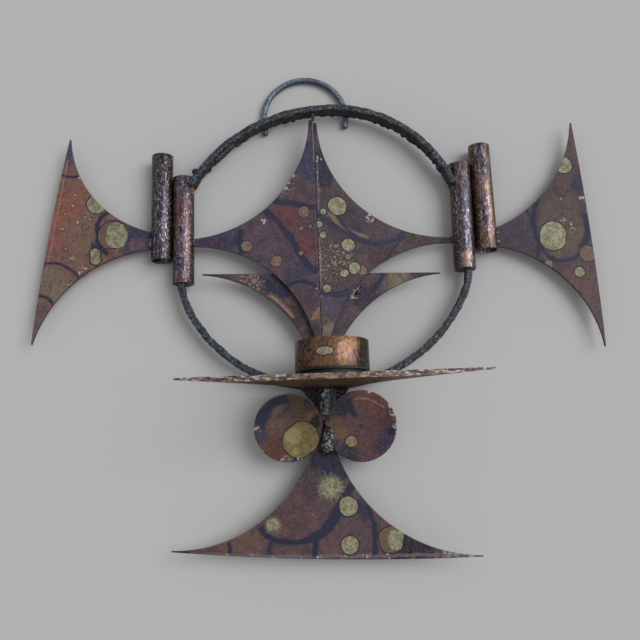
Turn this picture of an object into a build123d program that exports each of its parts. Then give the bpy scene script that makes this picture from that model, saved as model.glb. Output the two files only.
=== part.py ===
from build123d import *
from math import acos, atan2, cos, degrees, radians, sin, sqrt, tan
import os

# Wall sconce for one pillar candle, brazed up from cut copper plate, copper pipe and steel bar.
# Frame: +X to the right, +Z up, the wall is the plane Y = 0 and the sconce stands out towards -Y.
# The origin lies on the wall, behind the inside top of the hanger loop, where the hook holds it.
# Lengths are in millimetres and angles in degrees. A drop is a depth below the origin.

# Stock
plate_thickness = 2.5
tube_diameter = 22.2
tube_wall = 1.3
tube_length = 114.8
rod_diameter = 7.0
rod_end_chamfer = 1.2
tip_width = 1.1
joint_gap = 0.2
neck_bite = 3.0

# Hanger loop, a round rod bent to a little over half a circle
loop_radius = 44.3
loop_tuck = 7.0
left_leg_length = 15.5
right_leg_length = 7.0

# The sconce's own middle stands to the right of the hook
middle_x = 16.7

# Upper bar of the ring, a flat bar on edge, its crown a little right of the middle
upper_bar_width = 6.0
upper_bar_depth = 16.0
crown_shift = 14.0
crown_drop = 37.4
splice_angle = 133.0
splice_step = -0.6
left_weld_drop = 22.8
right_weld_drop = 55.8
bar_bite = 2.4

# Lower bar of the ring, thinner
lower_bar_width = 6.5
lower_bar_depth = 12.0
lower_bar_inset = 2.0
lower_bar_drop = 334.2
lower_bar_shift = 2.5
lower_bar_left_radius = 146.0
lower_bar_right_radius = 156.5
bar_bend_length = 17.0
bar_entry_depth = 3.0

# Pipe stubs, two on each side: the middle of each, how far its top leans left, its stand off the wall
left_inner_reach = 141.8
left_inner_drop = 171.7
left_outer_rise = 24.6
left_lean = 1.9
right_inner_reach = 148.0
right_inner_drop = 156.4
right_inner_lean = 1.1
right_inner_stand = 1.0
right_outer_rise = 21.0
right_outer_lean = 2.3
tube_gap = 0.2
wall_gap = 1.5

# Wings: reach from the pipe, height of the edge above and below the neck, lean, and the two round scoops
left_wing_neck = 18.0
left_wing_below_middle = 36.0
left_wing_reach = 104.0
left_wing_up = 112.8
left_wing_down = 108.8
left_wing_lean = 6.4
left_wing_upper_scoop = 117.0
left_wing_lower_scoop = 134.0
right_wing_neck = 19.0
right_wing_below_middle = 43.4
right_wing_reach = 95.2
right_wing_up = 127.8
right_wing_down = 114.5
right_wing_lean = 4.6
right_wing_upper_scoop = 140.0
right_wing_lower_scoop = 124.0
wing_bulge = 2.6

# Star, two halves that meet at a ridge
star_fold = 4.0
ridge_stand = 24.5
seam_gap = 0.6
seam_top_shift = -8.0
seam_foot_shift = 3.5
star_top_gap = 11.3
star_top_half = 4.2
star_right_top_short = 3.0
star_foot_half = 5.8
star_left_tip_below = 14.0
star_left_tip_width = 8.4
star_right_tip_below = 25.4
star_right_tip_width = 7.0
star_scoop = 129.5

# Rear fin, behind the star, standing on the lower bar
rear_fin_stand = 15.0
rear_fin_left = 123.7
rear_fin_right = 119.3
rear_fin_height = 111.5
rear_fin_rise = 2.0
rear_fin_foot_half = 5.6
rear_fin_scoop = 126.4
fin_tab_spread = 37.0
left_tab_below_edge = 12.5
right_tab_below_edge = 17.5

# Drip pan, a fishtail that lies almost level with its straight edge to the front
pan_tilt = 2.0
pan_shift = 11.0
pan_front = 105.0
pan_left = 140.4
pan_right = 144.4
pan_neck_left = 23.0
pan_neck_right = 17.0
pan_scoop = 130.0
pan_lip_height = 5.2
pan_lip_depth = 2.6

# Candle cup
candle_diameter = 63.5
candle_clearance = 1.75
cup_shift = 1.2
cup_stand = 61.5
cup_wall = 1.5
cup_height = 27.2
cup_floor_thickness = 2.0
cup_foot_recess = 4.0
cup_foot_height = 8.0

# Two dished discs, side by side under the pan
lobe_stand = 26.5
lobe_dish = 3.5
lobe_thickness = 2.0
lobe_shift = 3.6
lobe_gap = 3.2
left_lobe_radius = 33.0
left_lobe_below_pan = 3.7
right_lobe_radius = 34.7
right_lobe_below_pan = 2.4

# Bottom fin
fin_stand = 18.8
fin_top_rise = 7.0
fin_height = 124.5
fin_neck_half = 5.4
fin_left = 144.0
fin_right = 151.0
fin_slope = 3.9
fin_bulge = 4.3
fin_left_scoop = 136.5
fin_right_scoop = 145.7

# Filler: the radius of a lump, of a bead and of a fine bead
lump_radius = 5.0
bead_radius = 3.2
fine_radius = 1.8
bore_filler = 5.0
hanging_bead_shift = 0.6
hanging_bead_stand = 27.0
hanging_bead_top = 6.8
hanging_bead_foot = 3.4
hanging_bead_length = 24.0
lower_bead_shift = 3.5
lower_bead_stand = 26.0
lower_bead_radius = 6.0
lower_bead_length = 16.0

# Places of the smaller welds and brazes
hanger_weld_rise = 1.4
hanger_weld_lap = 2.0
splice_weld_radius = 3.6
splice_weld_rise = 0.6
splice_weld_spread = 3.6
splice_weld_run = 2.4
ring_weld_rise = 1.0
ring_weld_inset = 4.0
tube_braze_inset = 8.0
tube_braze_back = 6.0
wing_braze_half = 6.5
wing_braze_proud = 0.6
tip_braze_half = 2.5
tip_braze_proud = 0.4
seam_braze_low = 0.06
seam_braze_high = 0.83
seam_braze_behind = 0.3
top_weld_sink = 2.0
top_weld_rise = 1.0
top_weld_back = 5.0
foot_braze_half = 4.0
foot_braze_proud = 0.3
foot_braze_rise = 0.6
fin_tab_half = 2.6
fin_tab_radius = 2.0
fin_tab_proud = 1.0
fin_foot_weld_half = 5.0
pan_weld_start = 1.0
pan_weld_end = 26.0

# Places worked out from the sizes above
crown_x = middle_x + crown_shift
lower_bar_x = middle_x + lower_bar_shift
left_inner_x = middle_x - left_inner_reach
right_inner_x = middle_x + right_inner_reach
seam_top_x = middle_x + seam_top_shift
seam_foot_x = middle_x + seam_foot_shift
pan_middle = middle_x + pan_shift
lobe_meeting_x = middle_x + lobe_shift
hanging_bead_x = lobe_meeting_x + hanging_bead_shift
lower_bead_x = lobe_meeting_x + lower_bead_shift
tube_radius = tube_diameter / 2
tube_y = -(wall_gap + tube_radius)
tube_pitch = tube_diameter + tube_gap
bar_back = rod_diameter
bar_front = bar_back + upper_bar_depth
bore_radius = tube_radius - tube_wall


def facing(stand_off):
    """The plane parallel to the wall, stand_off in front of it, looked at from the front."""
    return Plane(origin=(0, -stand_off, 0), x_dir=(1, 0, 0), z_dir=(0, -1, 0))


def fishtail(neck_a, tip_a, tip_b, neck_b, scoop_a, scoop_b, bulge):
    """Face of a plate with a neck, a round scoop on each side and a far edge; points anticlockwise."""
    near_a, near_b = Vector(*tip_a), Vector(*tip_b)
    inward = (near_b - near_a).rotate(Axis.Z, 90).normalized() * tip_width
    with BuildLine() as outline:
        RadiusArc(neck_a, near_a + inward, scoop_a)
        Line(near_a + inward, near_a)
        if bulge > 0:
            SagittaArc(near_a, near_b, -bulge)
        else:
            Line(near_a, near_b)
        Line(near_b, near_b + inward)
        RadiusArc(near_b + inward, neck_b, scoop_b)
        Line(neck_b, neck_a)
    make_face(outline.edges())


def arc_band(centre, radius, width, start, stop):
    """Face of a flat bar bent on edge, between two angles."""
    with BuildLine() as outline:
        outer = CenterArc(centre, radius + width / 2, start, stop - start)
        inner = CenterArc(centre, radius - width / 2, start, stop - start)
        Line(outer @ 0, inner @ 0)
        Line(outer @ 1, inner @ 1)
    make_face(outline.edges())


def weld(name, start, end, radius, pieces):
    """A round-ended bead of filler from start to end, run into the corner between the pieces it joins."""
    run = Vector(*end) - Vector(*start)
    length = run.length
    beside = Plane(origin=start, z_dir=run).x_dir
    with BuildPart() as bead:
        with BuildSketch(Plane(origin=start, x_dir=run, z_dir=beside)):
            with BuildLine():
                Line((-radius, 0), (length + radius, 0))
                RadiusArc((length + radius, 0), (length, radius), -radius)
                Line((length, radius), (0, radius))
                RadiusArc((0, radius), (-radius, 0), -radius)
            make_face()
        revolve(axis=Axis(start, run))
        for piece in pieces:
            add(piece, mode=Mode.SUBTRACT)
    bead.part.label = name
    return bead.part


# Hanger loop
loop_centre = (0, -(loop_radius - rod_diameter / 2))
with BuildPart() as hanger_loop:
    with BuildLine(facing(rod_diameter / 2)) as loop_path:
        bend = CenterArc(loop_centre, loop_radius, -loop_tuck, 180 + 2 * loop_tuck)
        right_leg = PolarLine(bend @ 0, right_leg_length, direction=(bend % 0) * -1)
        left_leg = PolarLine(bend @ 1, left_leg_length, direction=bend % 1)
    with BuildSketch(Plane(origin=right_leg @ 1, z_dir=right_leg % 1)):
        Circle(rod_diameter / 2)
    sweep(path=loop_path.wires()[0])
    chamfer(hanger_loop.faces().filter_by(GeomType.PLANE).edges(), length=rod_end_chamfer)
hanger_loop.part.label = "hanger_loop"


# Pipe stubs. Each has a plug of the same outside, used to cut what butts against it
class Stub:
    """A leaning length of pipe, told by its middle."""

    def __init__(self, name, x, y, z, lean):
        self.x, self.y, self.z, self.lean = x, y, z, radians(lean)
        self.top, self.foot = z + tube_length / 2, z - tube_length / 2
        across = (cos(self.lean), 0, sin(self.lean))
        along = (-sin(self.lean), 0, cos(self.lean))
        self.plane = Plane(origin=(x, y, z), x_dir=across, z_dir=along)
        with BuildPart() as plug:
            with BuildSketch(self.plane):
                Circle(tube_radius)
            extrude(amount=tube_length / 2, both=True)
        with BuildPart() as tube:
            with BuildSketch(self.plane):
                Circle(tube_radius)
                Circle(bore_radius, mode=Mode.SUBTRACT)
            extrude(amount=tube_length / 2, both=True)
        tube.part.label = name
        self.plug, self.part = plug.part, tube.part

    def x_at(self, z):
        """Where the axis stands at a height."""
        return self.x - (z - self.z) * tan(self.lean)


left_inner = Stub("left_inner_tube", left_inner_x, tube_y, -left_inner_drop, left_lean)
left_outer_z = left_inner.z + left_outer_rise
left_outer_x = left_inner.x_at(left_outer_z) - tube_pitch / cos(radians(left_lean))
left_outer = Stub("left_outer_tube", left_outer_x, tube_y, left_outer_z, left_lean)
right_inner_y = tube_y - right_inner_stand
right_inner = Stub("right_inner_tube", right_inner_x, right_inner_y, -right_inner_drop, right_inner_lean)
right_outer_z = right_inner.z + right_outer_rise
right_pair_lean = (right_inner.top - right_outer_z) * tan(radians(right_outer_lean))
right_pair_pitch = tube_pitch / cos(radians(right_outer_lean))
right_outer_x = right_inner.x_at(right_inner.top) + right_pair_pitch + right_pair_lean
right_outer = Stub("right_outer_tube", right_outer_x, tube_y, right_outer_z, right_outer_lean)

# Upper bar of the ring: a left and a right arc that share the crown, and run into the inner pipes
left_end_z = left_inner.top - left_weld_drop
right_end_z = right_inner.top - right_weld_drop


def crown_radius(end_x, end_z):
    """Radius of the arc that is level at the crown and passes through the end."""
    across = end_x - crown_x
    down = -crown_drop - end_z
    return (across**2 + down**2) / (2 * down)


left_radius = crown_radius(left_inner.x_at(left_end_z), left_end_z)
right_radius = crown_radius(right_inner.x_at(right_end_z), right_end_z)
left_arc_centre = (crown_x, -crown_drop - left_radius)
right_arc_centre = (crown_x, -crown_drop - right_radius)
left_surface_x = left_inner.x_at(left_end_z) + tube_radius
right_surface_x = right_inner.x_at(right_end_z) - tube_radius
left_end_angle = degrees(acos((left_surface_x - 2 * bar_bite - crown_x) / left_radius))
right_end_angle = degrees(acos((right_surface_x + bar_bite - crown_x) / right_radius))


def bar_point(radius, angle, outward, stand_off):
    """A place by the left or the right arc, at an angle, outward from its centre line."""
    reach = radius + outward
    height = -crown_drop - radius + reach * sin(radians(angle))
    return crown_x + reach * cos(radians(angle)), -stand_off, height


def upper_bar_z(x):
    """Height of the upper bar's centre line at x."""
    radius = left_radius if x < crown_x else right_radius
    return -crown_drop - radius + sqrt(radius**2 - (x - crown_x) ** 2)


with BuildPart() as ring_upper_bar:
    with BuildSketch(facing(bar_back)):
        arc_band(left_arc_centre, left_radius, upper_bar_width, 90, splice_angle)
        arc_band(right_arc_centre, right_radius, upper_bar_width, right_end_angle, 90)
    extrude(amount=upper_bar_depth)
    add(right_inner.plug, mode=Mode.SUBTRACT)
ring_upper_bar.part.label = "ring_upper_bar"

splice_start_angle = splice_angle + degrees(joint_gap / left_radius)
splice_radius = left_radius + splice_step
with BuildPart() as ring_splice_bar:
    with BuildSketch(facing(bar_back)):
        arc_band(left_arc_centre, splice_radius, upper_bar_width, splice_start_angle, left_end_angle)
    extrude(amount=upper_bar_depth)
    add(left_inner.plug, mode=Mode.SUBTRACT)
ring_splice_bar.part.label = "ring_splice_bar"

# Lower bar of the ring: one arc, with both ends bent up into the mouths of the inner pipes
left_mouth_x = left_inner.x_at(left_inner.foot)
right_mouth_x = right_inner.x_at(right_inner.foot)
left_bend_point = (left_mouth_x + lower_bar_inset, left_inner.foot - bar_bend_length)
right_bend_point = (right_mouth_x + lower_bar_inset / 2, right_inner.foot - bar_bend_length)
left_bar_end = (left_mouth_x - lower_bar_inset, left_inner.foot + bar_entry_depth)
right_bar_end = (right_mouth_x + lower_bar_inset, right_inner.foot + bar_entry_depth)
bar_bottom = (lower_bar_x, -lower_bar_drop)
lower_bar_back = -(tube_y + lower_bar_depth / 2) + right_inner_stand / 2
lower_bar_front = lower_bar_back + lower_bar_depth
lower_bar_top = -lower_bar_drop + lower_bar_width / 2
with BuildPart() as ring_lower_bar:
    with BuildSketch(facing(lower_bar_back)):
        with BuildLine():
            left_bend = RadiusArc(left_bend_point, bar_bottom, -lower_bar_left_radius)
            right_bend = RadiusArc(bar_bottom, right_bend_point, -lower_bar_right_radius)
            TangentArc(left_bend_point, left_bar_end, tangent=(left_bend % 0) * -1)
            TangentArc(right_bend_point, right_bar_end, tangent=right_bend % 1)
        trace(line_width=lower_bar_width)
    extrude(amount=lower_bar_depth)
ring_lower_bar.part.label = "ring_lower_bar"


# Wings, cut to the outside of the outer pipes
def wing(name, side, stub, neck, below, reach, up, down, lean, upper_scoop, lower_scoop):
    """A fishtail on the outer pipe. side is -1 for the left and 1 for the right."""
    neck_z = stub.z - below
    neck_x = stub.x_at(neck_z) + side * (tube_radius - neck_bite)
    edge_x = stub.x_at(neck_z) + side * (tube_radius + reach)
    upper_neck = (neck_x, neck_z + neck / 2)
    lower_neck = (neck_x, neck_z - neck / 2)
    upper_tip = (edge_x - side * up * tan(radians(lean)), neck_z + up)
    lower_tip = (edge_x + side * down * tan(radians(lean)), neck_z - down)
    with BuildPart() as plate:
        with BuildSketch(facing(-stub.y - plate_thickness / 2)):
            if side < 0:
                fishtail(upper_neck, upper_tip, lower_tip, lower_neck, upper_scoop, lower_scoop, wing_bulge)
            else:
                fishtail(lower_neck, lower_tip, upper_tip, upper_neck, lower_scoop, upper_scoop, wing_bulge)
        extrude(amount=plate_thickness)
        add(stub.plug, mode=Mode.SUBTRACT)
    plate.part.label = name
    return plate.part


left_wing = wing(
    "left_wing", -1, left_outer, left_wing_neck, left_wing_below_middle, left_wing_reach,
    left_wing_up, left_wing_down, left_wing_lean, left_wing_upper_scoop, left_wing_lower_scoop,
)
right_wing = wing(
    "right_wing", 1, right_outer, right_wing_neck, right_wing_below_middle, right_wing_reach,
    right_wing_up, right_wing_down, right_wing_lean, right_wing_upper_scoop, right_wing_lower_scoop,
)

# Drip pan
pan_slope = radians(pan_tilt)
pan_z = -lower_bar_drop - lower_bar_width / 2
pan_plane = Plane(
    origin=(pan_middle, 0, pan_z),
    x_dir=(cos(pan_slope), 0, sin(pan_slope)),
    z_dir=(-sin(pan_slope), 0, cos(pan_slope)),
)


def pan_height(x):
    """Height of the pan's underside at x."""
    return pan_z + (x - pan_middle) * tan(pan_slope)


with BuildPart() as drip_pan:
    with BuildSketch(pan_plane):
        fishtail(
            (-pan_neck_left, -lower_bar_front), (-pan_left, -pan_front),
            (pan_right, -pan_front), (pan_neck_right, -lower_bar_front),
            pan_scoop, pan_scoop, 0,
        )
    extrude(amount=pan_lip_height)
    with BuildSketch(pan_plane.offset(plate_thickness)):
        with Locations((0, -pan_front + pan_lip_depth)):
            Rectangle(pan_left + pan_right + pan_front, pan_front, align=(Align.CENTER, Align.MIN))
    extrude(amount=pan_lip_height, mode=Mode.SUBTRACT)
drip_pan.part.label = "drip_pan"

# Candle cup: a spacer on the pan, a floor on the spacer, and a wall on the floor
cup_bore = candle_diameter / 2 + candle_clearance
pan_top = pan_plane.offset(plate_thickness)
cup_seat = Plane(
    origin=pan_top.from_local_coords((cup_shift, -cup_stand, 0)), x_dir=pan_top.x_dir, z_dir=pan_top.z_dir
)
with BuildPart() as cup_foot:
    with BuildSketch(cup_seat):
        Circle(cup_bore + cup_wall - cup_foot_recess)
    extrude(amount=cup_foot_height)
cup_foot.part.label = "cup_foot"

with BuildPart() as cup_floor:
    with BuildSketch(cup_seat.offset(cup_foot_height)):
        Circle(cup_bore + cup_wall)
    extrude(amount=cup_floor_thickness)
cup_floor.part.label = "cup_floor"

with BuildPart() as candle_cup:
    with BuildSketch(cup_seat.offset(cup_foot_height + cup_floor_thickness)):
        Circle(cup_bore + cup_wall)
        Circle(cup_bore, mode=Mode.SUBTRACT)
    extrude(amount=cup_height)
candle_cup.part.label = "candle_cup"

# Star: each half is a flat plate turned back about the ridge
seam_top_z = upper_bar_z(seam_top_x) - upper_bar_width / 2 - star_top_gap
seam_foot_z = pan_height(seam_foot_x) + plate_thickness / cos(pan_slope)
seam_lean = atan2(seam_foot_x - seam_top_x, seam_top_z - seam_foot_z)


def star_plane(side):
    """The front of one half of the star, turned back from the ridge. side is -1 left and 1 right."""
    fold = radians(star_fold)
    along = Vector(-sin(seam_lean), 0, cos(seam_lean))
    across = Vector(cos(seam_lean) * cos(fold), side * sin(fold), sin(seam_lean) * cos(fold))
    return Plane(origin=(seam_foot_x, -ridge_stand, seam_foot_z), x_dir=across, z_dir=across.cross(along))


def in_star(x, z):
    """A place on the folded half, told across from the ridge and up along it."""
    east, north = x - seam_foot_x, z - seam_foot_z
    across = east * cos(seam_lean) + north * sin(seam_lean)
    along = north * cos(seam_lean) - east * sin(seam_lean)
    return across / cos(radians(star_fold)), along


def seam_point(share, behind):
    """A place behind the ridge, share of the way up it."""
    x = seam_foot_x + (seam_top_x - seam_foot_x) * share
    return x, -ridge_stand + behind, seam_foot_z + (seam_top_z - seam_foot_z) * share


def star_half(name, side, stub, tip_below, tip_height, top_short):
    """Half of the star, its side tip run to the inner pipe. side is -1 for the left and 1 for the right."""
    tip_z = stub.z - tip_below
    reach, tip_along = in_star(stub.x_at(tip_z) - side * (tube_radius - neck_bite), tip_z)
    top_along = in_star(seam_top_x, seam_top_z)[1] - top_short
    seam_edge = side * seam_gap / 2
    foot_inner = (seam_edge, -plate_thickness / 2)
    foot_outer = (side * star_foot_half, -plate_thickness / 2)
    tip_lower = (reach, tip_along - tip_height / 2)
    tip_upper = (reach, tip_along + tip_height / 2)
    top_outer = (side * star_top_half, top_along)
    top_inner = (seam_edge, top_along)
    with BuildPart() as half:
        with BuildSketch(star_plane(side)):
            with BuildLine():
                Line(foot_inner, foot_outer)
                RadiusArc(foot_outer, tip_lower, side * star_scoop)
                Line(tip_lower, tip_upper)
                RadiusArc(tip_upper, top_outer, side * star_scoop)
                Polyline(top_outer, top_inner, foot_inner)
            make_face()
        extrude(amount=-plate_thickness)
        add(stub.plug, mode=Mode.SUBTRACT)
        add(drip_pan.part, mode=Mode.SUBTRACT)
    half.part.label = name
    return half.part


star_left_half = star_half("star_left_half", -1, left_inner, star_left_tip_below, star_left_tip_width, 0)
star_right_half = star_half(
    "star_right_half", 1, right_inner, star_right_tip_below, star_right_tip_width, star_right_top_short
)
star_halves = [star_left_half, star_right_half]

# Rear fin
rear_edge_z = lower_bar_top + rear_fin_height
rear_foot_z = lower_bar_top - lower_bar_width / 2
with BuildPart() as rear_fin:
    with BuildSketch(facing(rear_fin_stand)):
        fishtail(
            (seam_foot_x + rear_fin_foot_half, rear_foot_z),
            (seam_foot_x + rear_fin_right, rear_edge_z + rear_fin_rise),
            (seam_foot_x - rear_fin_left, rear_edge_z),
            (seam_foot_x - rear_fin_foot_half, rear_foot_z),
            rear_fin_scoop, rear_fin_scoop, 0,
        )
    extrude(amount=plate_thickness)
    add(ring_lower_bar.part, mode=Mode.SUBTRACT)
rear_fin.part.label = "rear_fin"


# Dished discs
def lobe(name, x, z, radius):
    """A round plate beaten hollow, its hollow side to the front."""
    with BuildPart() as dish:
        with BuildSketch(Plane(origin=(x, -lobe_stand, z), x_dir=(1, 0, 0), z_dir=(0, 0, 1))):
            with BuildLine():
                TangentArc((0, lobe_dish), (radius, 0), tangent=(1, 0))
                Line((radius, 0), (radius, lobe_thickness))
                TangentArc((0, lobe_dish + lobe_thickness), (radius, lobe_thickness), tangent=(1, 0))
                Line((0, lobe_dish), (0, lobe_dish + lobe_thickness))
            make_face()
        revolve(axis=Axis((x, -lobe_stand, z), (0, 1, 0)))
    dish.part.label = name
    return dish.part


left_lobe_x = lobe_meeting_x - lobe_gap / 2 - left_lobe_radius
left_lobe_z = pan_height(left_lobe_x) - left_lobe_below_pan - left_lobe_radius
left_lobe = lobe("left_lobe", left_lobe_x, left_lobe_z, left_lobe_radius)
right_lobe_x = lobe_meeting_x + lobe_gap / 2 + right_lobe_radius
right_lobe_z = pan_height(right_lobe_x) - right_lobe_below_pan - right_lobe_radius
right_lobe = lobe("right_lobe", right_lobe_x, right_lobe_z, right_lobe_radius)
lobes = [left_lobe, right_lobe]
lobe_meeting_z = (left_lobe_z + right_lobe_z) / 2

# Bottom fin, behind the discs
fin_top_z = lobe_meeting_z + fin_top_rise
fin_base_z = fin_top_z - fin_height
with BuildPart() as bottom_fin:
    with BuildSketch(facing(fin_stand)):
        fishtail(
            (lobe_meeting_x - fin_neck_half, fin_top_z),
            (lobe_meeting_x - fin_left, fin_base_z),
            (lobe_meeting_x + fin_right, fin_base_z - fin_slope),
            (lobe_meeting_x + fin_neck_half, fin_top_z),
            fin_left_scoop, fin_right_scoop, fin_bulge,
        )
    extrude(amount=plate_thickness)
bottom_fin.part.label = "bottom_fin"

# Welds that hold the hanger loop to the top of the ring
welds = []
for name, x in (("hanger_weld_left", left_leg.center().X), ("hanger_weld_right", right_leg.center().X)):
    height = upper_bar_z(x) + upper_bar_width / 2 + hanger_weld_rise
    start = (x - lump_radius, -bar_back - hanger_weld_lap, height)
    end = (x + lump_radius, -bar_back - hanger_weld_lap, height)
    welds.append(weld(name, start, end, bead_radius, [hanger_loop.part, ring_upper_bar.part]))

# Weld at the splice, on the inner side of the ring
splice_side = -upper_bar_width / 2 - splice_weld_rise
splice_back = bar_back + upper_bar_depth / 2
splice_front = splice_back + splice_weld_run
splice_start = bar_point(left_radius, splice_angle + splice_weld_spread, splice_side, splice_back)
splice_end = bar_point(left_radius, splice_angle - splice_weld_spread, splice_side, splice_front)
splice_pieces = [ring_upper_bar.part, ring_splice_bar.part]
welds.append(weld("ring_splice_weld", splice_start, splice_end, splice_weld_radius, splice_pieces))

# Welds between the ring and the inner pipes, run along the depth of the bar
for name, radius, stub, side, bar in (
    ("ring_weld_left", splice_radius, left_inner, -1, ring_splice_bar.part),
    ("ring_weld_right", right_radius, right_inner, 1, ring_upper_bar.part),
):
    outward = upper_bar_width / 2 + ring_weld_rise
    corner_x = stub.x_at(stub.top - left_weld_drop) - side * (tube_radius + ring_weld_rise)
    angle = degrees(acos((corner_x - crown_x) / (radius + outward)))
    start = bar_point(radius, angle, outward, bar_back + ring_weld_inset)
    end = bar_point(radius, angle, outward, bar_front - ring_weld_inset)
    welds.append(weld(name, start, end, bead_radius, [bar, stub.plug]))

# Filler in the mouths of the inner pipes, round the ends of the lower bar
for name, stub in (("bore_weld_left", left_inner), ("bore_weld_right", right_inner)):
    with BuildPart() as filler:
        with BuildSketch(stub.plane.offset(-tube_length / 2)):
            Circle(bore_radius)
        extrude(amount=bore_filler)
        add(ring_lower_bar.part, mode=Mode.SUBTRACT)
    filler.part.label = name
    welds.append(filler.part)

# Brazes between the pipes of a pair, in the groove on the wall side
for name, inner, outer in (
    ("tube_braze_left", left_inner, left_outer),
    ("tube_braze_right", right_inner, right_outer),
):
    low = outer.foot + tube_braze_inset
    high = inner.top - tube_braze_inset
    groove_y = tube_y + tube_braze_back
    start = ((inner.x_at(low) + outer.x_at(low)) / 2, groove_y, low)
    end = ((inner.x_at(high) + outer.x_at(high)) / 2, groove_y, high)
    welds.append(weld(name, start, end, bead_radius, [inner.plug, outer.plug]))

# Brazes at the necks of the wings
for name, side, stub, below, plate in (
    ("wing_braze_left", -1, left_outer, left_wing_below_middle, left_wing),
    ("wing_braze_right", 1, right_outer, right_wing_below_middle, right_wing),
):
    y = stub.y - plate_thickness / 2 - wing_braze_proud
    ends = []
    for step in (-wing_braze_half, wing_braze_half):
        z = stub.z - below + step
        ends.append((stub.x_at(z) + side * tube_radius, y, z))
    welds.append(weld(name, ends[0], ends[1], fine_radius, [stub.plug, plate]))

# Brazes at the side tips of the star
for name, side, stub, below, half in (
    ("star_left_braze", -1, left_inner, star_left_tip_below, star_left_half),
    ("star_right_braze", 1, right_inner, star_right_tip_below, star_right_half),
):
    ends = []
    for step in (-tip_braze_half, tip_braze_half):
        z = stub.z - below + step
        x = stub.x_at(z) - side * tube_radius
        across = abs(in_star(x, z)[0])
        ends.append((x, -ridge_stand + across * sin(radians(star_fold)) - tip_braze_proud, z))
    welds.append(weld(name, ends[0], ends[1], fine_radius, [stub.plug, half]))

# Brazes behind the seam, at the top and at the foot of the star
behind = plate_thickness + seam_braze_behind
seam_braze_start = seam_point(seam_braze_low, behind)
seam_braze_end = seam_point(seam_braze_high, behind)
welds.append(weld("star_seam_braze", seam_braze_start, seam_braze_end, fine_radius, star_halves))
welds.append(
    weld(
        "star_top_weld",
        (seam_top_x, -ridge_stand + top_weld_sink, seam_top_z + top_weld_rise),
        (seam_top_x, -bar_front + top_weld_back, seam_top_z + star_top_gap),
        fine_radius,
        star_halves + [ring_upper_bar.part],
    )
)
foot_braze_ends = []
for x in (seam_foot_x - foot_braze_half, seam_foot_x + foot_braze_half):
    z = pan_height(x) + plate_thickness + foot_braze_rise
    foot_braze_ends.append((x, -ridge_stand - foot_braze_proud, z))
foot_pieces = star_halves + [drip_pan.part]
welds.append(weld("star_foot_braze", foot_braze_ends[0], foot_braze_ends[1], fine_radius, foot_pieces))

# Tabs of braze between the star and the rear fin, and the weld at the fin's foot
tab_y = -(rear_fin_stand + plate_thickness + fin_tab_proud)
for name, side, below, half in (
    ("fin_tab_left", -1, left_tab_below_edge, star_left_half),
    ("fin_tab_right", 1, right_tab_below_edge, star_right_half),
):
    x, z = seam_foot_x + side * fin_tab_spread, rear_edge_z - below
    start = (x + side * fin_tab_half, tab_y, z + fin_tab_half)
    end = (x - side * fin_tab_half, tab_y, z - fin_tab_half)
    welds.append(weld(name, start, end, fin_tab_radius, [rear_fin.part, half]))
foot_y = -(rear_fin_stand + plate_thickness)
welds.append(
    weld(
        "rear_fin_foot_weld",
        (seam_foot_x - fin_foot_weld_half, foot_y, lower_bar_top),
        (seam_foot_x + fin_foot_weld_half, foot_y, lower_bar_top),
        fine_radius,
        [rear_fin.part, ring_lower_bar.part],
    )
)

# Weld under the neck of the pan
neck_y = -lower_bar_front
pan_weld = weld(
    "pan_neck_weld",
    (middle_x + pan_weld_start, neck_y, pan_height(middle_x + pan_weld_start)),
    (middle_x + pan_weld_end, neck_y, pan_height(middle_x + pan_weld_end)),
    fine_radius,
    [drip_pan.part, ring_lower_bar.part],
)
welds.append(pan_weld)

# Beads: one hangs from the pan and takes the discs, one below takes the bottom fin
bead_top_z = pan_height(hanging_bead_x)
bead_middle = (hanging_bead_x, -hanging_bead_stand, bead_top_z - hanging_bead_length / 2)
with BuildPart() as upper_bead:
    with Locations(bead_middle):
        Cone(hanging_bead_foot, hanging_bead_top, hanging_bead_length)
    with Locations((hanging_bead_x, -hanging_bead_stand, bead_top_z)):
        Sphere(hanging_bead_top)
    with Locations((hanging_bead_x, -hanging_bead_stand, bead_top_z - hanging_bead_length)):
        Sphere(hanging_bead_foot)
    for piece in [drip_pan.part, pan_weld] + lobes:
        add(piece, mode=Mode.SUBTRACT)
    split(bisect_by=pan_plane, keep=Keep.BOTTOM)
upper_bead.part.label = "upper_bead"
welds.append(upper_bead.part)

lower_bead_z = lobe_meeting_z - fin_top_rise - lower_bead_radius
welds.append(
    weld(
        "lower_bead",
        (lower_bead_x, -lower_bead_stand, lower_bead_z + lower_bead_length / 2),
        (lower_bead_x, -lower_bead_stand, lower_bead_z - lower_bead_length / 2),
        lower_bead_radius,
        lobes + [bottom_fin.part],
    )
)

made = [
    hanger_loop.part, ring_upper_bar.part, ring_splice_bar.part, ring_lower_bar.part,
    left_inner.part, left_outer.part, right_inner.part, right_outer.part,
    left_wing, right_wing, star_left_half, star_right_half, rear_fin.part,
    drip_pan.part, cup_foot.part, cup_floor.part, candle_cup.part,
    left_lobe, right_lobe, bottom_fin.part,
]
os.makedirs("parts", exist_ok=True)
for part in made + welds:
    export_step(part, f"parts/{part.label}.step")
    print(part.label, len(part.solids()), round(part.volume))
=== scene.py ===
# %% [markdown]
# # A wall sconce of torched copper
#
# The sconce is cut from copper plate, coloured with a torch and brazed to a ring of blackened steel bar.
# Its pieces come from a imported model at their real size, so this lesson adds what a torch, a welding rod
# and a hammer leave behind: colours that run, drops of flux, lumpy filler and rough bar.
# Lengths are in millimetres wherever a name ends in _mm, and in metres where Blender wants them.

# %% Load the frame
import math

import bpy
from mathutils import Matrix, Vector, noise


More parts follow.
